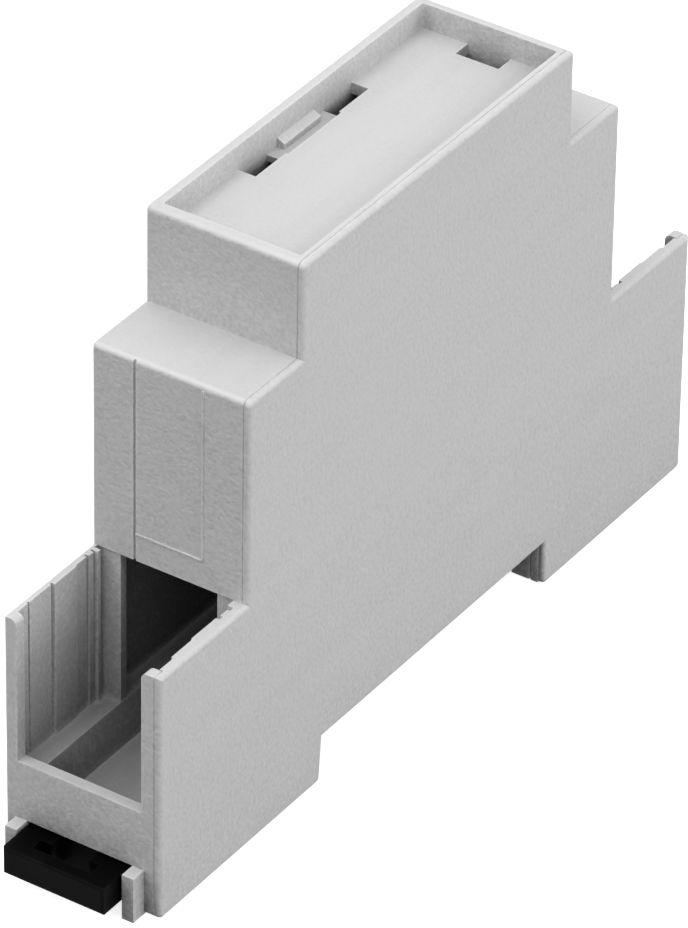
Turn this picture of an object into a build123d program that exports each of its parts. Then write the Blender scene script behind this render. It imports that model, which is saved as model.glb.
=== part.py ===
"""One-module rail enclosure: an open-sided moulded housing, its side cover and the sliding rail clip.

Everything is in millimetres. X runs along the rail, Y along the case and Z away from the rail.
The origin lies on the rail seat, midway along the case and across its width.
"""

import os

from build123d import *

# Case outline, seen along the rail
case_length = 90.0
case_width = 17.5
case_height = 55.0
shoulder_length = 62.0
shoulder_height = 44.7
front_length = 45.0
bay_height = 22.4
foot_drop = 5.0
corner_radius = 0.6
edge_radius = 0.45

# Rail that the case snaps on, and the feet on either side of it
rail_width = 35.0
rail_flange = 1.0
rail_play = 0.15
near_foot_gap = 0.85
far_foot_gap = 2.5
foot_slant = 0.4

# Walls of the housing
wall = 1.2
bay_wall = 0.55
floor_thickness = 1.0
sill_height = 6.5
wire_gap = 13.9
post_round = 0.7
board_gap = 10.84
flange_step = 0.3
seam_bevel = 0.15

# Raised strip along the floor that a circuit board stands on
strip_width = 1.85
strip_height = 5.3
strip_slope = 0.8

# Front recess with its panel slots
recess_depth = 2.7
recess_floor = 1.2
recess_round = 0.25
side_slot_length = 18.6
side_slot_width = 1.93
relief_length = 8.8
relief_width = 0.25
end_slot_length = 4.8
end_slot_width = 2.1

# Snap catch in a side slot: a short sloped tooth on a longer ledge
tooth_length = 6.0
tooth_reach = 0.85
tooth_rise = 0.25
tooth_slope = 0.4
ledge_length = 9.3
ledge_reach = 1.55
ledge_drop = 0.75
ledge_height = 0.7

# Break-out panels on the shoulder faces: a scored line on one side, fine beads on two others
panel_width = 7.55
panel_shift = 0.15
panel_bottom = 25.4
score_width = 0.3
score_depth = 0.2
bead_width = 0.2
bead_height = 0.1

# Guide ribs in the terminal bays: start and stop as shares of the bay from its end face, and height
housing_ribs = (
    (0.08, 0.20, 0.20),
    (0.22, 0.46, 0.20),
    (0.48, 0.73, 0.45),
    (0.73, 0.85, 0.30),
    (0.87, 0.92, 0.40),
    (0.94, 0.97, 0.70),
)
cover_ribs = ((0.25, 0.49, 0.25), (0.49, 0.77, 0.40), (0.81, 0.89, 0.30), (0.93, 1.00, 0.65))

# Side cover: a lip that laps the housing, and a thicker middle that nests inside it
cover_thickness = 1.0
cover_lip = 0.65
cover_play = 0.12
peg_radius = 1.2
peg_length = 5.0
peg_play = 0.05
peg_lead = 0.3
boss_radius = 2.2
boss_inset = 1.6
lower_boss_spacing = 24.0

# Rail clip and the channel that it slides in
clip_width = 11.36
clip_thickness = 3.05
clip_top = -0.15
clip_reach = 4.3
clip_round = 0.3
clip_travel = 3.4
clip_play = 0.2
guide_play = 0.27
guide_thickness = 1.3
guide_setback = 1.0
ear_reach = 1.7
nose_bite = 1.9
nose_lead = 1.1
nose_ramp = 2.2
nose_setback = 0.6
driver_slot_length = 6.56
driver_slot_width = 1.4
driver_slot_inset = 1.45
driver_stem_length = 4.2
driver_stem_width = 1.8
arm_thickness = 1.2
arm_slot = 0.9
arm_length = 15.0
arm_root = 8.3
bump_reach = 0.75
bump_length = 2.0
bump_height = 2.0
bump_ramp = 0.6
keeper_reach = 0.9
keeper_thickness = 0.9
keeper_length = 6.0
keeper_spacing = 16.0

# Fixed hook on the far foot
hook_width = 12.6
hook_bite = 0.9
hook_thickness = 1.4
hook_root = 1.4
hook_rib = 1.1
hook_rib_length = 10.0
inner_foot_lift = 0.7

# Places worked out from the sizes
half_length = case_length / 2
left_face = -case_width / 2
right_face = case_width / 2
seam = right_face - cover_lip
inner_left = left_face + wall
bay_left = left_face + bay_wall
cover_inner = right_face - cover_thickness
core = (left_face + seam) / 2
shoulder_end = shoulder_length / 2
front_end = front_length / 2
bay_depth = half_length - shoulder_end
end_wall_inner = half_length - wall
bay_inner = shoulder_end - flange_step
chamber_end = shoulder_end - wall
chamber_top = shoulder_height - wall
front_inner = front_end - wall
recess_level = case_height - recess_depth
recess_under = recess_level - recess_floor
floor_under = clip_top + clip_play
floor_top = floor_under + floor_thickness
near_foot_end = -(rail_width / 2 + near_foot_gap)
far_foot_end = rail_width / 2 + far_foot_gap
panel_left = core + panel_shift - panel_width / 2
panel_right = panel_left + panel_width
panel_top = shoulder_height - corner_radius
hook_level = -(rail_flange + rail_play)
clip_bottom = clip_top - clip_thickness
guide_inner = clip_width / 2 + guide_play
guide_middle = guide_inner + guide_thickness / 2
upper_boss_y = chamber_end - boss_inset
upper_boss_z = chamber_top - boss_inset
lower_boss_y = lower_boss_spacing / 2
lower_boss_z = floor_top + boss_inset
boss_places = (
    (-upper_boss_y, upper_boss_z),
    (upper_boss_y, upper_boss_z),
    (-lower_boss_y, lower_boss_z),
    (lower_boss_y, lower_boss_z),
)
nose_tip = -(rail_width / 2 - nose_bite)
hook_tip = rail_width / 2 - hook_bite
hook_back = far_foot_end + hook_root
inner_foot = inner_foot_lift - foot_drop
tooth_top = recess_level + tooth_rise
ledge_top = recess_level - ledge_drop
cover_ledge_top = recess_under - cover_play
clip_rear = near_foot_end - nose_setback
clip_front = -(half_length + clip_reach)
arm_front = -half_length + arm_root
arm_end = arm_front + arm_length
arm_side = clip_width / 2
bump_front = arm_end - bump_length
bump_tip = arm_side + bump_reach
bump_z = (clip_top + clip_bottom) / 2
keeper_top = clip_bottom - clip_play
keeper_middle = (clip_rear - end_wall_inner) / 2
keeper_places = (keeper_middle - keeper_spacing / 2, keeper_middle + keeper_spacing / 2)


def case_outline(x):
    """Side outline of the whole case, on the plane across the rail at x."""
    with BuildSketch(Plane.YZ.offset(x)) as outline:
        with BuildLine():
            Polyline(
                (-half_length, -foot_drop),
                (near_foot_end - foot_slant, -foot_drop),
                (near_foot_end, 0),
                (far_foot_end, 0),
                (far_foot_end, -foot_drop),
                (half_length, -foot_drop),
                (half_length, bay_height),
                (shoulder_end, bay_height),
                (shoulder_end, shoulder_height),
                (front_end, shoulder_height),
                (front_end, case_height),
                (-front_end, case_height),
                (-front_end, shoulder_height),
                (-shoulder_end, shoulder_height),
                (-shoulder_end, bay_height),
                (-half_length, bay_height),
                close=True,
            )
        make_face()
        levels = outline.vertices().group_by(Axis.Y)
        shoulders = levels[3].sort_by(Axis.X)
        fillet([*levels[0], shoulders[0], shoulders[-1], *levels[4]], corner_radius)
    return outline.sketch


def chamber_outline(x, inset=0.0):
    """Side outline of the board chamber, on the plane across the rail at x."""
    with BuildSketch(Plane.YZ.offset(x)) as outline:
        with BuildLine():
            Polyline(
                (-chamber_end, floor_top),
                (chamber_end, floor_top),
                (chamber_end, chamber_top),
                (front_inner, chamber_top),
                (front_inner, recess_under),
                (-front_inner, recess_under),
                (-front_inner, chamber_top),
                (-chamber_end, chamber_top),
                close=True,
            )
        make_face()
        if inset:
            offset(amount=-inset, kind=Kind.INTERSECTION, mode=Mode.REPLACE)
    return outline.sketch


def wire_opening(depth):
    """Opening in an end wall that flares round the tops of its two posts."""
    side = wire_gap / 2
    with BuildSketch(Plane.XZ.offset(depth)) as opening:
        with BuildLine():
            sill = Line((core - side, sill_height), (core + side, sill_height))
            right = Line(sill @ 1, (core + side, bay_height - post_round))
            flare = TangentArc(right @ 1, (core + side + post_round, bay_height), tangent=(0, 1))
            top = Line(flare @ 1, (core - side - post_round, bay_height))
            back = TangentArc(top @ 1, (core - side, bay_height - post_round), tangent=(1, 0))
            Line(back @ 1, sill @ 0)
        make_face()
    return opening.sketch


def span(low_x, low_y, high_x, high_y, mode=Mode.ADD):
    """Rectangle between two corners of the current sketch."""
    with Locations(((low_x + high_x) / 2, (low_y + high_y) / 2)):
        Rectangle(high_x - low_x, high_y - low_y, mode=mode)


# Housing: left wall, ends, shoulders, front and floor in one moulding, open towards the cover
with BuildPart() as housing:
    extrude(case_outline(left_face), amount=seam - left_face)
    fillet(housing.faces().sort_by(Axis.X)[0].edges(), edge_radius)
    chamfer(housing.faces().sort_by(Axis.X)[-1].edges(), seam_bevel)

    # Board chamber, terminal bays and the hollow feet
    extrude(chamber_outline(inner_left), amount=seam - inner_left, mode=Mode.SUBTRACT)
    with BuildSketch(Plane.YZ.offset(bay_left)):
        span(-end_wall_inner, floor_top, -bay_inner, bay_height)
        span(bay_inner, floor_top, end_wall_inner, bay_height)
    extrude(amount=seam - bay_left, mode=Mode.SUBTRACT)
    with BuildSketch(Plane.YZ.offset(inner_left)):
        span(-end_wall_inner, -foot_drop, near_foot_end, floor_under)
        span(far_foot_end, -foot_drop, end_wall_inner, floor_under)
    extrude(amount=seam - inner_left, mode=Mode.SUBTRACT)

    # Way for the board under both shoulders
    with BuildSketch(Plane.XZ):
        span(core - board_gap / 2, floor_top, core + board_gap / 2, bay_height)
    extrude(amount=shoulder_end, both=True, mode=Mode.SUBTRACT)

    # Wire openings in both end walls, between posts with rounded tops
    for end in (-1, 1):
        extrude(wire_opening(end * half_length), amount=-end * wall, mode=Mode.SUBTRACT)

    # Strip along the floor
    with BuildSketch(Plane.XZ):
        Polygon(
            (bay_left, floor_under),
            (inner_left + strip_width + strip_slope, floor_top),
            (inner_left + strip_width, strip_height),
            (bay_left, strip_height),
        )
    extrude(amount=end_wall_inner, both=True)

    # Guide ribs on the bays' left wall
    with BuildSketch(Plane.XY.offset(floor_top)):
        for start, stop, height in housing_ribs:
            outer = half_length - start * bay_depth
            inner = half_length - stop * bay_depth
            span(bay_left, -outer, bay_left + height, -inner)
            span(bay_left, inner, bay_left + height, outer)
    extrude(amount=bay_height - floor_top)

    # Bosses that take the cover's pegs
    with BuildSketch(Plane.YZ.offset(inner_left)):
        with Locations(*boss_places):
            Circle(boss_radius)
    extrude(amount=cover_inner - cover_play - inner_left)
    with BuildSketch(Plane.YZ.offset(cover_inner - cover_play)):
        with Locations(*boss_places):
            Circle(peg_radius + peg_play)
    extrude(amount=-(peg_length + peg_play), mode=Mode.SUBTRACT)

    # Front recess and the slots for a front panel's legs
    with BuildSketch(Plane.XY.offset(case_height)) as recess:
        span(inner_left, -front_inner, right_face - wall, front_inner)
        fillet(recess.vertices(), recess_round)
    extrude(amount=-recess_depth, mode=Mode.SUBTRACT)
    with BuildSketch(Plane.XY.offset(recess_level)):
        slot_edge = inner_left + side_slot_width
        span(inner_left, -side_slot_length / 2, slot_edge, side_slot_length / 2)
        span(slot_edge, -relief_length / 2, slot_edge + relief_width, relief_length / 2)
        mirror(about=Plane.YZ)
        for end in (-1, 1):
            with Locations((0, end * (front_inner - end_slot_width / 2))):
                Rectangle(end_slot_length, end_slot_width)
    extrude(amount=-recess_floor, mode=Mode.SUBTRACT)

    # Snap catch on the left wall, in its slot
    with BuildSketch(Plane.XZ):
        Polygon(
            (inner_left, tooth_top),
            (inner_left + tooth_reach, tooth_top - tooth_slope),
            (inner_left + tooth_reach, ledge_top),
            (inner_left, ledge_top),
        )
    extrude(amount=tooth_length / 2, both=True)
    with BuildSketch(Plane.XZ):
        span(inner_left, ledge_top - ledge_height, inner_left + ledge_reach, ledge_top)
    extrude(amount=ledge_length / 2, both=True)

    # Break-out panels on both shoulder faces
    for end in (-1, 1):
        face = Plane.XZ.offset(end * shoulder_end)
        with BuildSketch(face):
            span(panel_left - score_width / 2, bay_height, panel_left + score_width / 2, shoulder_height)
        extrude(amount=-end * score_depth, mode=Mode.SUBTRACT)
        with BuildSketch(face):
            bead_start = panel_left + score_width / 2
            span(panel_right - bead_width / 2, panel_bottom, panel_right + bead_width / 2, panel_top)
            span(bead_start, panel_bottom - bead_width / 2, panel_right, panel_bottom + bead_width / 2)
        extrude(amount=end * bead_height)

    # Clip channel: a way through the near end wall between two guides with ears
    with BuildSketch(Plane.XZ.offset(half_length)):
        span(core - guide_middle, -foot_drop, core + guide_middle, floor_under)
    extrude(amount=-wall, mode=Mode.SUBTRACT)
    with BuildSketch(Plane.XY.offset(-foot_drop)):
        with Locations((core - guide_middle, 0), (core + guide_middle, 0)):
            guide_end = near_foot_end - guide_setback
            span(-guide_thickness / 2, -half_length - ear_reach, guide_thickness / 2, guide_end)
    extrude(amount=foot_drop + floor_under)
    with BuildSketch(Plane.XY.offset(keeper_top)):
        for middle in keeper_places:
            low = middle - keeper_length / 2
            span(core - guide_middle, low, core + guide_middle, low + keeper_length)
            span(
                core - guide_inner + keeper_reach,
                low,
                core + guide_inner - keeper_reach,
                low + keeper_length,
                mode=Mode.SUBTRACT,
            )
    extrude(amount=-keeper_thickness)
    with BuildSketch(Plane.XY.offset(bump_z)):
        low = bump_front - clip_travel - clip_play
        span(core - bump_tip - guide_play, low, core + bump_tip + guide_play, arm_end + clip_play)
        span(core - guide_inner, low, core + guide_inner, arm_end + clip_play, mode=Mode.SUBTRACT)
    extrude(amount=bump_height / 2 + clip_play, both=True, mode=Mode.SUBTRACT)

    # Fixed hook between two ribs under the far end
    with BuildSketch(Plane.YZ.offset(core)):
        Polygon(
            (hook_tip, hook_level),
            (hook_back, hook_level),
            (hook_back, floor_under),
            (hook_back + wall, floor_under),
            (hook_back + wall, inner_foot),
            (hook_back, inner_foot),
            (hook_tip + hook_thickness, hook_level - hook_thickness),
            (hook_tip, hook_level - hook_thickness / 2),
        )
    extrude(amount=hook_width / 2, both=True)
    with BuildSketch(Plane.XY.offset(inner_foot)):
        rib_middle = (hook_width + hook_rib) / 2
        with Locations((core - rib_middle, far_foot_end), (core + rib_middle, far_foot_end)):
            Rectangle(hook_rib, hook_rib_length, align=(Align.CENTER, Align.MIN))
    extrude(amount=floor_under - inner_foot)

# Side cover: a lip of the full outline, thickened where it nests between the housing's walls
with BuildPart() as side_cover:
    extrude(case_outline(seam), amount=cover_lip)
    fillet(side_cover.faces().sort_by(Axis.X)[-1].edges(), edge_radius)
    extrude(chamber_outline(cover_inner, cover_play), amount=seam - cover_inner)
    with BuildSketch(Plane.YZ.offset(cover_inner)):
        pad_end = end_wall_inner - cover_play
        pad_start = bay_inner + cover_play
        span(-pad_end, floor_top + cover_play, -pad_start, bay_height)
        span(pad_start, floor_top + cover_play, pad_end, bay_height)
        span(-pad_end, inner_foot, near_foot_end - foot_slant, floor_under - cover_play)
        span(far_foot_end, inner_foot, pad_end, floor_under - cover_play)
    extrude(amount=seam - cover_inner)

    # Guide ribs on the bays' right wall
    with BuildSketch(Plane.XY.offset(floor_top + cover_play)):
        for start, stop, height in cover_ribs:
            outer = half_length - start * bay_depth
            inner = half_length - stop * bay_depth
            span(cover_inner - height, -outer, cover_inner, -inner)
            span(cover_inner - height, inner, cover_inner, outer)
    extrude(amount=bay_height - floor_top - cover_play)

    # Pegs for the housing's bosses, and the ledge under the right panel slot
    with BuildSketch(Plane.YZ.offset(cover_inner)):
        with Locations(*boss_places):
            Circle(peg_radius)
    extrude(amount=-peg_length)
    chamfer(side_cover.faces().group_by(Axis.X)[0].edges(), peg_lead)
    with BuildSketch(Plane.XZ):
        span(right_face - wall - ledge_reach, cover_ledge_top - ledge_height, cover_inner, cover_ledge_top)
    extrude(amount=ledge_length / 2, both=True)

# Rail clip: a slider with a driver slot in its head, two sprung arms and a nose for the rail
with BuildPart() as rail_clip:
    with BuildSketch(Plane.YZ.offset(core)):
        Polygon(
            (clip_front, clip_bottom),
            (nose_tip - nose_ramp, clip_bottom),
            (nose_tip, clip_bottom + nose_lead),
            (nose_tip, hook_level),
            (clip_rear, hook_level),
            (clip_rear, clip_top),
            (clip_front, clip_top),
        )
    extrude(amount=clip_width / 2, both=True)
    fillet(rail_clip.faces().sort_by(Axis.Y)[0].edges(), clip_round)

    # Slot for a screwdriver, through the head
    slot_front = clip_front + driver_slot_inset
    slot_back = slot_front + driver_slot_width
    with BuildSketch(Plane.XY.offset(clip_top)):
        with Locations((core, 0)):
            span(-driver_slot_length / 2, slot_front, driver_slot_length / 2, slot_back)
            span(-driver_stem_length / 2, slot_back, driver_stem_length / 2, slot_back + driver_stem_width)
    extrude(amount=-clip_thickness, mode=Mode.SUBTRACT)

    # Arms freed from the sides, each with a bump that runs in its guide's pocket
    for side in (-1, 1):
        slot_outer = arm_side - arm_thickness
        slot_inner = slot_outer - arm_slot
        with BuildSketch(Plane.XY.offset(clip_top)):
            with Locations((core, 0)):
                Polygon(
                    (side * slot_inner, arm_front),
                    (side * slot_outer, arm_front),
                    (side * slot_outer, arm_end),
                    (side * arm_side, arm_end),
                    (side * arm_side, nose_tip),
                    (side * slot_inner, nose_tip),
                )
        extrude(amount=-clip_thickness, mode=Mode.SUBTRACT)
        with BuildSketch(Plane.XY.offset(bump_z)):
            with Locations((core, 0)):
                Polygon(
                    (side * arm_side, bump_front),
                    (side * bump_tip, bump_front + bump_ramp),
                    (side * bump_tip, arm_end),
                    (side * slot_outer, arm_end),
                    (side * slot_outer, bump_front),
                )
        extrude(amount=bump_height / 2, both=True)

housing.part.label = "housing"
side_cover.part.label = "side_cover"
rail_clip.part.label = "rail_clip"

os.makedirs("parts", exist_ok=True)
export_step(housing.part, "parts/housing.step")
export_step(side_cover.part, "parts/side_cover.step")
export_step(rail_clip.part, "parts/rail_clip.step")
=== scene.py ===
"""Looks of the one-module rail enclosure: moulded finishes, moulding marks, studio and camera.

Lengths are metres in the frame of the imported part.
X runs along the rail, Y along the case and Z away from the rail.
"""

import logging
import math
from collections.abc import Mapping, Sequence
from dataclasses import dataclass
from enum import Enum

import bpy
import numpy as np
from mathutils import Matrix, Vector


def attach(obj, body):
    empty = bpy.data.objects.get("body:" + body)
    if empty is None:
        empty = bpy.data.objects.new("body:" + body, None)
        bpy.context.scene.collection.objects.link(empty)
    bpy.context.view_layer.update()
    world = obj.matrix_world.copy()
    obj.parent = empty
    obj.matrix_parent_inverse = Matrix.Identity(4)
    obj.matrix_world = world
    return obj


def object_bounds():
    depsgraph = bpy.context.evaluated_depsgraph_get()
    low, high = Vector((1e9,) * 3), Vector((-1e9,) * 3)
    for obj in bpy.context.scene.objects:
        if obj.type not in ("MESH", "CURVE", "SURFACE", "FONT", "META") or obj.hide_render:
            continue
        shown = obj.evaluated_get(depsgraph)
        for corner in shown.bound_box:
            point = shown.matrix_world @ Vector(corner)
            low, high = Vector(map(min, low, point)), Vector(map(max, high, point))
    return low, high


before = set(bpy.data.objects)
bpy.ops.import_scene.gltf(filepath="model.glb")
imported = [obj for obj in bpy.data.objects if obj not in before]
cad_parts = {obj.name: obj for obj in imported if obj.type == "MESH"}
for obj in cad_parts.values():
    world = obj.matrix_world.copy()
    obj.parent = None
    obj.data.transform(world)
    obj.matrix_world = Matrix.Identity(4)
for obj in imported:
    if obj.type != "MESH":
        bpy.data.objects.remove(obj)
cad_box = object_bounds()

MM = 0.001
RAYS = 6
NOISE_ROUGHNESS = 0.55
log = logging.getLogger("rail_enclosure")

Colour = tuple[float, float, float]
Place = tuple[float, float, float]


class Body(Enum):
    """Moving groups of the part that a piece can ride on."""

    HOUSING = "housing"
    CLIP = "clip"


class Signal:
    """Number that changes over a surface: one value socket whose arithmetic adds Math nodes."""

    def __init__(self, graph: "NodeGraph", socket: bpy.types.NodeSocket) -> None:
        """Wraps a socket of a graph."""
        self.graph = graph
        self.socket = socket

    def _math(self, operation: str, first: "Signal | float", second: "Signal | float") -> "Signal":
        """Adds one Math node.

        Args:
            operation: Name of the Math node's operation.
            first: Left-hand value.
            second: Right-hand value.

        Returns:
            The node's result.
        """
        made = self.graph.node("ShaderNodeMath", {"operation": operation}, {0: first, 1: second})
        return Signal(self.graph, made.outputs[0])

    def __add__(self, other: "Signal | float") -> "Signal":
        """Sum of two values."""
        return self._math("ADD", self, other)

    __radd__ = __add__

    def __sub__(self, other: "Signal | float") -> "Signal":
        """Difference of two values."""
        return self._math("SUBTRACT", self, other)

    def __rsub__(self, other: float) -> "Signal":
        """Difference from a plain number."""
        return self._math("SUBTRACT", other, self)

    def __mul__(self, other: "Signal | float") -> "Signal":
        """Product of two values."""
        return self._math("MULTIPLY", self, other)

    __rmul__ = __mul__

    def __pow__(self, power: float) -> "Signal":
        """Value raised to a power."""
        return self._math("POWER", self, power)

    def step(self, low: float, high: float) -> "Signal":
        """Smooth rise from 0 at the low value to 1 at the high one.

        Args:
            low: Value where the rise starts.
            high: Value where the rise ends.

        Returns:
            The eased share, between 0 and 1.
        """
        made = self.graph.node(
            "ShaderNodeMapRange",
            {"interpolation_type": "SMOOTHSTEP"},
            {"Value": self, "From Min": low, "From Max": high},
        )
        return Signal(self.graph, made.outputs[0])


class NodeGraph:
    """Node tree of one material, written from expressions."""

    def __init__(self, name: str) -> None:
        """Makes an empty material.

        Args:
            name: Name of the material.
        """
        self.material = bpy.data.materials.new(name)
        self.material.use_nodes = True
        self.tree = self.material.node_tree
        self.tree.nodes.clear()
        self.place = self.node("ShaderNodeTexCoord").outputs["Object"]

    def node(
        self,
        kind: str,
        settings: Mapping[str, object] | None = None,
        sockets: Mapping[str | int, object] | None = None,
    ) -> bpy.types.Node:
        """Adds one node.

        Args:
            kind: Blender's type name of the node.
            settings: Properties of the node, set first.
            sockets: Value or link of each input, by its name or number.

        Returns:
            The new node.
        """
        made = self.tree.nodes.new(kind)
        for name, value in (settings or {}).items():
            setattr(made, name, value)
        for key, value in (sockets or {}).items():
            source = value.socket if isinstance(value, Signal) else value
            if isinstance(source, bpy.types.NodeSocket):
                self.tree.links.new(source, made.inputs[key])
            else:
                made.inputs[key].default_value = source
        return made

    def noise(self, size: float, octaves: float, stretch: Place = (1.0, 1.0, 1.0)) -> Signal:
        """Cloudy noise about zero.

        Args:
            size: Width of a typical blot.
            octaves: Number of finer octaves.
            stretch: How many times longer the blots are along each axis.

        Returns:
            Noise from about -0.5 to 0.5.
        """
        scale = tuple(1.0 / (size * part) for part in stretch)
        spread = self.node("ShaderNodeMapping", None, {"Vector": self.place, "Scale": scale})
        made = self.node(
            "ShaderNodeTexNoise",
            None,
            {
                "Vector": spread.outputs[0],
                "Scale": 1.0,
                "Detail": octaves,
                "Roughness": NOISE_ROUGHNESS,
            },
        )
        return Signal(self, made.outputs["Fac"]) - 0.5

    def rounded(self, radius: float) -> bpy.types.NodeSocket:
        """Normal of the surface with its sharp edges rounded in the shading."""
        return self.node("ShaderNodeBevel", {"samples": RAYS}, {"Radius": radius}).outputs[0]

    def normal_squares(self) -> tuple[Signal, Signal]:
        """Squares of the normal's parts along the case and away from the rail.

        Returns:
            The two squares, which multiply to a quarter halfway round an edge across the case.
        """
        normal = self.node("ShaderNodeTexCoord").outputs["Normal"]
        parts = self.node("ShaderNodeSeparateXYZ", None, {0: normal}).outputs
        along, away = Signal(self, parts["Y"]), Signal(self, parts["Z"])
        return along * along, away * away

    def height(self) -> Signal:
        """Height above the rail's face."""
        return Signal(self, self.node("ShaderNodeSeparateXYZ", None, {0: self.place}).outputs["Z"])

    def shelter(self, reach: float, inward: bool = False) -> Signal:
        """Share of the directions out of a point, or into its wall, that end at a surface within reach.

        Args:
            reach: Furthest distance of a surface that counts.
            inward: Whether the directions into the wall count, which marks edges.

        Returns:
            0 on an open wall, and about a half in a square corner or on a square edge.
        """
        settings = {"samples": RAYS, "only_local": inward, "inside": inward}
        made = self.node("ShaderNodeAmbientOcclusion", settings, {"Distance": reach})
        return 1.0 - Signal(self, made.outputs["AO"])

    def mix(self, share: Signal, first: object, second: object) -> bpy.types.NodeSocket:
        """Mixes two colours.

        Args:
            share: Share of the second colour.
            first: Colour or colour socket.
            second: Colour or colour socket.

        Returns:
            The mixed colour.
        """
        # The numbers are the sockets of the share, the two colours and the result.
        settings = {"data_type": "RGBA", "clamp_factor": True}
        made = self.node("ShaderNodeMix", settings, {0: share, 6: first, 7: second})
        return made.outputs[2]

    def surface(self, sockets: Mapping[str, object]) -> bpy.types.Material:
        """Closes the tree with a Principled shader.

        Args:
            sockets: Value or link of each input of the shader.

        Returns:
            The finished material.
        """
        shader = self.node("ShaderNodeBsdfPrincipled", None, sockets)
        self.node("ShaderNodeOutputMaterial", None, {"Surface": shader.outputs[0]})
        return self.material


def opaque(colour: Colour) -> tuple[float, float, float, float]:
    """Colour with full cover."""
    return (*colour, 1.0)


@dataclass(frozen=True)
class MouldedPlastic:
    """Plastic from a spark-eroded mould, with a fine grain, soft clouds, rubbed edges with a painted
    highlight, and painted shade in seams, corners and low on the walls.

    A tone, wear or shade is how far a mark goes towards the pale or the deep colour, a cover is the
    middle share of a patchy mark, and a calm is the share of the grain that a wall loses.
    """

    name: str
    colour: Colour
    pale: Colour
    deep: Colour
    roughness: float
    gloss: float
    grain_size: float
    grain_height: float
    grain_tone: float
    cloud_tone: float
    edge_radius: float
    # The edge wear is rubbed wear plus a painted highlight on the edges.
    edge_wear_and_highlight: float
    # Seam dust and corner dust are painted shade in seams and deep corners; the seams are spared some of
    # the corner shade.
    seam_shade: float
    corner_shade_spared_in_seams: float
    corner_shade: float
    corner_reach: float
    corner_falloff: float
    grain_octaves: float = 1.0
    cloud_size: float = 9.0 * MM
    cloud_octaves: float = 3.0
    flow_size: float = 2.2 * MM
    flow_octaves: float = 2.0
    flow_stretch: Place = (1.0, 9.0, 1.0)
    pit_spread: float = 1.8
    pit_depth: float = 0.8
    # Reach, gain and cover of the edge mark, which is rubbed wear plus a painted highlight.
    wear_and_highlight_reach: float = 0.3 * MM
    wear_and_highlight_gain: float = 1.5
    wear_and_highlight_cover: float = 0.65
    side_calm: float = 0.2
    level_calm: float = 0.7
    edge_calm: float = 0.8
    seam_reach: float = 1.0 * MM
    # Painted shade low on the walls that look along the case, near the clip and the feet.
    low_shade: float = 1.5
    low_shade_reach: float = 6.0 * MM
    low_shade_top: float = 6.5 * MM
    low_shade_bottom: float = 0.5 * MM
    low_shade_cover: float = 0.5
    rough_change: float = 0.12

    def material(self) -> bpy.types.Material:
        """Writes the finish as a material.

        The tone is the base colour moved towards the pale one by grain, clouds and worn edges with a
        painted highlight, and then towards the deep one by painted shade in seams, deep corners and low on
        the walls that look along the case.
        The grain is calmer on the sides and on level walls, and rubbed off the rounded edges.

        Returns:
            The new material.
        """
        graph = NodeGraph(self.name)
        along, away = graph.normal_squares()
        # The product is a quarter at most, so four times it runs from 0 to 1.
        turned = 4.0 * along * away
        across = 1.0 - along - away
        calm = (1.0 - across * self.side_calm - away * self.level_calm) * (1.0 - turned * self.edge_calm)
        grain = graph.noise(self.grain_size, self.grain_octaves) * calm
        pits = graph.noise(self.grain_size * self.pit_spread, self.grain_octaves) * calm
        clouds = graph.noise(self.cloud_size, self.cloud_octaves)
        flow = graph.noise(self.flow_size, self.flow_octaves, self.flow_stretch)
        # Paler edges: rubbed wear plus a painted highlight on sharp edges and on rounded edges turned
        # between along and away.
        edge = graph.shelter(self.wear_and_highlight_reach, inward=True) * self.wear_and_highlight_gain
        wear_and_highlight = (edge + turned) * (self.wear_and_highlight_cover + clouds)
        # Painted shade in narrow seams and in deep corners, with less of the corner shade right in the
        # seams.
        seams = graph.shelter(self.seam_reach)
        corners = graph.shelter(self.corner_reach) ** self.corner_falloff * (1.0 - seams * self.corner_shade_spared_in_seams)
        painted_shade = seams * self.seam_shade + corners * self.corner_shade
        # Painted shade low on the walls that look along the case.
        low = graph.height().step(self.low_shade_top, self.low_shade_bottom) * (self.low_shade_cover + clouds)
        painted_shade = painted_shade + graph.shelter(self.low_shade_reach) * low * along * self.low_shade
        speckle = grain * self.grain_tone + (clouds + flow) * self.cloud_tone
        tone = graph.mix(speckle + wear_and_highlight * self.edge_wear_and_highlight, opaque(self.colour), opaque(self.pale))
        tone = graph.mix(painted_shade - speckle, tone, opaque(self.deep))
        relief = grain + pits * self.pit_depth
        bump = graph.node(
            "ShaderNodeBump",
            None,
            {
                "Strength": 1.0,
                "Distance": self.grain_height,
                "Height": relief,
                "Normal": graph.rounded(self.edge_radius),
            },
        )
        rough = self.roughness + (clouds + grain - wear_and_highlight) * self.rough_change
        return graph.surface({
            "Base Color": tone,
            "Roughness": rough,
            "Normal": bump.outputs[0],
            "Specular IOR Level": self.gloss,
        })


def surface_piece(name: str, points: np.ndarray, material: bpy.types.Material) -> bpy.types.Object:
    """Makes a closed piece from rings of points, capped at the first ring and at the last.

    Args:
        name: Name of the piece.
        points: Places as rings by points by three.
        material: Finish of the piece.

    Returns:
        The new object, linked to the scene.
    """
    rings, count = points.shape[:2]
    first = np.arange(rings - 1)[:, None] * count + np.arange(count)[None, :]
    second = np.arange(rings - 1)[:, None] * count + np.roll(np.arange(count), -1)[None, :]
    quads = np.stack((first, first + count, second + count, second), axis=-1).reshape(-1, 4)
    mesh = bpy.data.meshes.new(name)
    caps = [list(range(count)), list(range(rings * count))[: -count - 1 : -1]]
    mesh.from_pydata(points.reshape(-1, 3).tolist(), [], quads.tolist() + caps)
    mesh.shade_smooth()
    mesh.materials.append(material)
    piece = bpy.data.objects.new(name, mesh)
    bpy.context.scene.collection.objects.link(piece)
    return piece


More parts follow.
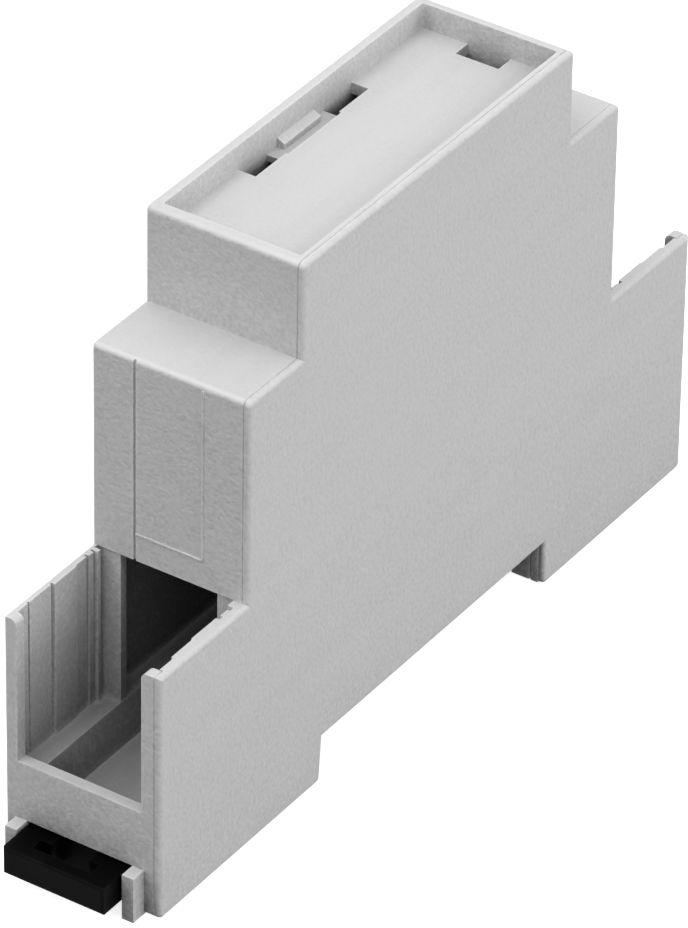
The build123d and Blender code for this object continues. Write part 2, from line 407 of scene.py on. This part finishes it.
@dataclass(frozen=True)
class EjectorMark:
    """Low round witness of an ejector pin on the hidden side of a level wall."""

    radius: float = 1.25 * MM
    eye: float = 0.1 * MM
    rise: float = 0.06 * MM
    dish: float = 0.03 * MM
    lip: float = 0.18 * MM
    rings: int = 10
    segments: int = 40

    def points(self, centre: Place, outward: Place) -> np.ndarray:
        """Works out the mark as a function of angle and distance from its middle.

        The height is a shallow parabola in the middle. It eases down to the wall over the width of the lip.

        Args:
            centre: Middle of the mark, on the wall.
            outward: Way that the wall looks.

        Returns:
            Places as rings by points by three, from the middle outwards.
        """
        out = Vector(outward)
        side = out.orthogonal().normalized()
        across = out.cross(side)
        distance = np.linspace(self.eye, self.radius, self.rings)[:, None]
        angle = np.linspace(0.0, 2.0 * math.pi, self.segments, endpoint=False)[None, :]
        ease = np.clip((self.radius - distance) / self.lip, 0.0, 1.0)
        crown = self.rise - self.dish * (1.0 - (distance / self.radius) ** 2)
        height = crown * ease * ease * (3.0 - 2.0 * ease)
        return (
            np.array(centre)
            + (distance * np.cos(angle))[..., None] * np.array(side)
            + (distance * np.sin(angle))[..., None] * np.array(across)
            + (height + 0.0 * angle)[..., None] * np.array(out)
        )


@dataclass(frozen=True)
class FootWeb:
    """Short wall across the near side of the far foot."""

    name: str
    start: float
    stop: float
    near: float = 19.98 * MM
    far: float = 20.8 * MM
    top: float = 0.0
    bottom: float = -4.95 * MM
    rounding: float = 0.12 * MM
    squareness: float = 14.0
    rings: int = 8
    segments: int = 48

    def points(self) -> np.ndarray:
        """Works out the wall as level rings that draw in over a quarter circle at the bottom.

        Each ring is a superellipse: its coordinates are the cosine and sine of an angle to a small power.

        Returns:
            Places as rings by points by three, from the top down.
        """
        lift = np.append(1.0, np.linspace(1.0, 0.0, self.rings))[:, None]
        level = np.where(np.arange(self.rings + 1) == 0, self.top, self.bottom + self.rounding * lift[:, 0])
        inset = self.rounding * (1.0 - np.sqrt(1.0 - (1.0 - lift) ** 2))
        angle = np.linspace(0.0, 2.0 * math.pi, self.segments, endpoint=False)[None, :]
        power = 2.0 / self.squareness
        across = np.sign(np.cos(angle)) * np.abs(np.cos(angle)) ** power
        along = np.sign(np.sin(angle)) * np.abs(np.sin(angle)) ** power
        return np.stack(
            (
                (self.start + self.stop) / 2.0 + ((self.stop - self.start) / 2.0 - inset) * across,
                (self.near + self.far) / 2.0 + ((self.far - self.near) / 2.0 - inset) * along,
                level[:, None] + 0.0 * angle,
            ),
            axis=-1,
        )


@dataclass
class Case:
    """Light grey housing and its side cover, with the far foot's webs and the marks on its ceiling."""

    finish: MouldedPlastic
    cover_finish: MouldedPlastic
    webs: Sequence[FootWeb] = (
        FootWeb("foot_web", start=5.0 * MM, stop=7.1 * MM),
        FootWeb("cover_web", start=7.22 * MM, stop=8.1 * MM),
    )
    mark: EjectorMark = EjectorMark()
    ceiling: float = 0.05 * MM
    ceiling_faces: Place = (0.0, 0.0, -1.0)
    foot_middle: float = -0.325 * MM
    mark_rows: Sequence[float] = (33.0 * MM, 41.0 * MM)
    mark_columns: Sequence[float] = (-4.5 * MM, 4.5 * MM)

    def dress(self) -> bpy.types.Material:
        """Gives the two mouldings their finish.

        Returns:
            The housing's material.
        """
        material = self.finish.material()
        dress_node("housing", material, Body.HOUSING)
        dress_node("side_cover", self.cover_finish.material(), Body.HOUSING)
        return material

    def build(self, material: bpy.types.Material) -> list[bpy.types.Object]:
        """Makes the far foot's webs and the ejector marks on the foot's ceiling.

        Args:
            material: Finish of the new pieces, the same as the housing's.

        Returns:
            The new pieces.
        """
        forms = {web.name: web.points() for web in self.webs}
        for row in self.mark_rows:
            for column in self.mark_columns:
                centre = (self.foot_middle + column, row, self.ceiling)
                number = len(forms) - len(self.webs) + 1
                forms[f"ejector_mark_{number}"] = self.mark.points(centre, self.ceiling_faces)
        pieces = []
        for name, points in forms.items():
            piece = surface_piece(name, points, material)
            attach(piece, Body.HOUSING.value)
            pieces.append(piece)
        return pieces


@dataclass
class RailClip:
    """Black sliding clip under the near end."""

    finish: MouldedPlastic

    def dress(self) -> None:
        """Gives the clip its finish."""
        dress_node("rail_clip", self.finish.material(), Body.CLIP)


def dress_node(node: str, material: bpy.types.Material, body: Body) -> None:
    """Puts one material on all of a CAD node.

    Args:
        node: Name of the node.
        material: Its finish.
        body: Moving group that the node belongs to.
    """
    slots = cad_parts[node].data.materials
    slots.clear()
    slots.append(material)
    log.info("dressed %s, on body %s, in %s", node, body.value, material.name)


@dataclass(frozen=True)
class SoftBox:
    """Square studio light that looks at the part."""

    name: str
    azimuth: float
    elevation: float
    distance: float
    size: float
    power: float

    def build(self, aim: Vector) -> None:
        """Sets up the light.

        Args:
            aim: Point that the light looks at.
        """
        lamp = bpy.data.lights.new(self.name, "AREA")
        lamp.size = self.size
        lamp.energy = self.power
        axes = view_axes(self.azimuth, self.elevation, roll=0.0)
        light = bpy.data.objects.new(self.name, lamp)
        light.matrix_world = Matrix.Translation(aim + axes.col[2] * self.distance) @ axes.to_4x4()
        bpy.context.scene.collection.objects.link(light)


def view_axes(azimuth: float, elevation: float, roll: float) -> Matrix:
    """Axes of a camera or light that looks at the part.

    Args:
        azimuth: Degrees round the part, from the near end towards the cover.
        elevation: Degrees above the floor.
        roll: Degrees that the view is turned about its own axis.

    Returns:
        Matrix whose columns point right, up and back.
    """
    turn, lift, spin = (math.radians(angle) for angle in (azimuth, elevation, roll))
    right = Vector((math.cos(turn), math.sin(turn), 0.0))
    back = Vector((math.sin(turn) * math.cos(lift), -math.cos(turn) * math.cos(lift), math.sin(lift)))
    up = back.cross(right)
    rolled_right = right * math.cos(spin) + up * math.sin(spin)
    rolled_up = up * math.cos(spin) - right * math.sin(spin)
    return Matrix((rolled_right, rolled_up, back)).transposed()


@dataclass(frozen=True)
class Studio:
    """Pale floor, soft light and the camera that stands where the photograph was taken."""

    aim: Place = (0.0, 0.0, 23.0 * MM)
    azimuth: float = 33.44
    elevation: float = 34.6
    roll: float = 0.936
    distance: float = 780.14 * MM
    aside: float = -1.357 * MM
    above: float = -4.767 * MM
    focal_px: float = 8275.3
    picture_height_px: float = 928.0
    sensor: float = 36.0
    nearest_view: float = 10.0 * MM
    floor_size: float = 6.0
    floor_colour: Colour = (0.9, 0.9, 0.9)
    floor_roughness: float = 0.9
    floor_glow: float = 0.85
    floor_gap: float = 0.02 * MM
    sky_colour: Colour = (1.0, 1.0, 1.0)
    sky_strength: float = 0.1
    boxes: Sequence[SoftBox] = (
        SoftBox("top_box", azimuth=0.0, elevation=90.0, distance=1.1, size=12.0, power=322.0),
        SoftBox("key_box", azimuth=-25.0, elevation=60.0, distance=1.1, size=0.6, power=3.1),
        SoftBox("side_box", azimuth=94.0, elevation=25.0, distance=0.5, size=0.4, power=1.1),
        SoftBox("fill_box", azimuth=8.0, elevation=12.0, distance=1.1, size=0.8, power=0.15),
        SoftBox("back_box", azimuth=238.0, elevation=12.0, distance=1.1, size=0.8, power=2.6),
    )

    def build_camera(self) -> None:
        """Sets up the camera and makes it the scene's."""
        lens = bpy.data.cameras.new("camera")
        lens.sensor_width = self.sensor
        lens.lens = self.focal_px * self.sensor / self.picture_height_px
        lens.clip_start = self.nearest_view
        axes = view_axes(self.azimuth, self.elevation, self.roll)
        place = Vector(self.aim) + axes @ Vector((self.aside, self.above, self.distance))
        camera = bpy.data.objects.new("camera", lens)
        camera.matrix_world = Matrix.Translation(place) @ axes.to_4x4()
        bpy.context.scene.collection.objects.link(camera)
        bpy.context.scene.camera = camera

    def build_floor(self) -> None:
        """Lays the floor under the feet."""
        half = self.floor_size / 2.0
        corners = [(-half, -half), (half, -half), (half, half), (-half, half)]
        level = cad_box[0][2] - self.floor_gap
        mesh = bpy.data.meshes.new("floor")
        mesh.from_pydata([(x, y, level) for x, y in corners], [], [(0, 1, 2, 3)])
        graph = NodeGraph("floor_paper")
        mesh.materials.append(graph.surface({
            "Base Color": opaque(self.floor_colour),
            "Roughness": self.floor_roughness,
            "Emission Color": opaque(self.floor_colour),
            "Emission Strength": self.floor_glow,
        }))
        floor = bpy.data.objects.new("floor", mesh)
        # The glowing floor lights no wall of the part.
        floor.visible_diffuse = False
        bpy.context.scene.collection.objects.link(floor)

    def build_light(self) -> None:
        """Sets up the sky and the soft boxes."""
        world = bpy.data.worlds.new("studio")
        world.use_nodes = True
        sky = world.node_tree.nodes["Background"].inputs
        sky["Color"].default_value = opaque(self.sky_colour)
        sky["Strength"].default_value = self.sky_strength
        bpy.context.scene.world = world
        bpy.context.scene.view_settings.view_transform = "Standard"
        for box in self.boxes:
            box.build(Vector(self.aim))

    def build(self) -> None:
        """Sets up the whole studio."""
        self.build_floor()
        self.build_light()
        self.build_camera()
        log.info("studio has %d soft boxes", len(self.boxes))


def case_plastic(name: str, edge_wear_and_highlight: float) -> MouldedPlastic:
    """Light grey plastic of the case.

    Args:
        name: Name of the material.
        edge_wear_and_highlight: How far the rubbed edges, with their painted highlight, go towards the pale
            colour.

    Returns:
        The finish.
    """
    return MouldedPlastic(
        name=name,
        colour=(0.62, 0.62, 0.62),
        pale=(0.95, 0.95, 0.95),
        deep=(0.03, 0.03, 0.03),
        roughness=0.58,
        gloss=0.3,
        grain_size=0.4 * MM,
        grain_height=0.065 * MM,
        grain_tone=0.4,
        cloud_tone=0.1,
        edge_radius=0.06 * MM,
        # The edge wear is rubbed wear plus a painted highlight; the seam and corner dust are painted shade.
        edge_wear_and_highlight=edge_wear_and_highlight,
        seam_shade=0.05,
        corner_shade_spared_in_seams=0.9,
        corner_shade=1.0,
        corner_reach=45.0 * MM,
        corner_falloff=4.0,
    )


CLIP_PLASTIC = MouldedPlastic(
    name="grained_clip",
    colour=(0.0016, 0.0016, 0.0017),
    pale=(0.03, 0.03, 0.031),
    deep=(0.0002, 0.0002, 0.0002),
    roughness=0.5,
    gloss=0.03,
    grain_size=0.15 * MM,
    grain_height=0.008 * MM,
    grain_tone=0.4,
    cloud_tone=0.15,
    edge_radius=0.12 * MM,
    # Rubbed wear plus a painted highlight on the edges; painted shade in the seams and in the slot's
    # corners.
    edge_wear_and_highlight=0.2,
    seam_shade=0.3,
    corner_shade_spared_in_seams=0.0,
    corner_shade=1.4,
    corner_reach=4.0 * MM,
    corner_falloff=1.0,
)


def main() -> None:
    """Builds and dresses every sub-assembly, then the studio."""
    logging.basicConfig(level=logging.INFO, format="%(name)s: %(message)s")
    case = Case(
        finish=case_plastic("grained_case", edge_wear_and_highlight=0.6),
        cover_finish=case_plastic("grained_cover", edge_wear_and_highlight=0.35),
    )
    for piece in case.build(case.dress()):
        log.info("made %s", piece.name)
    RailClip(CLIP_PLASTIC).dress()
    Studio().build()


if __name__ == "__main__":
    main()
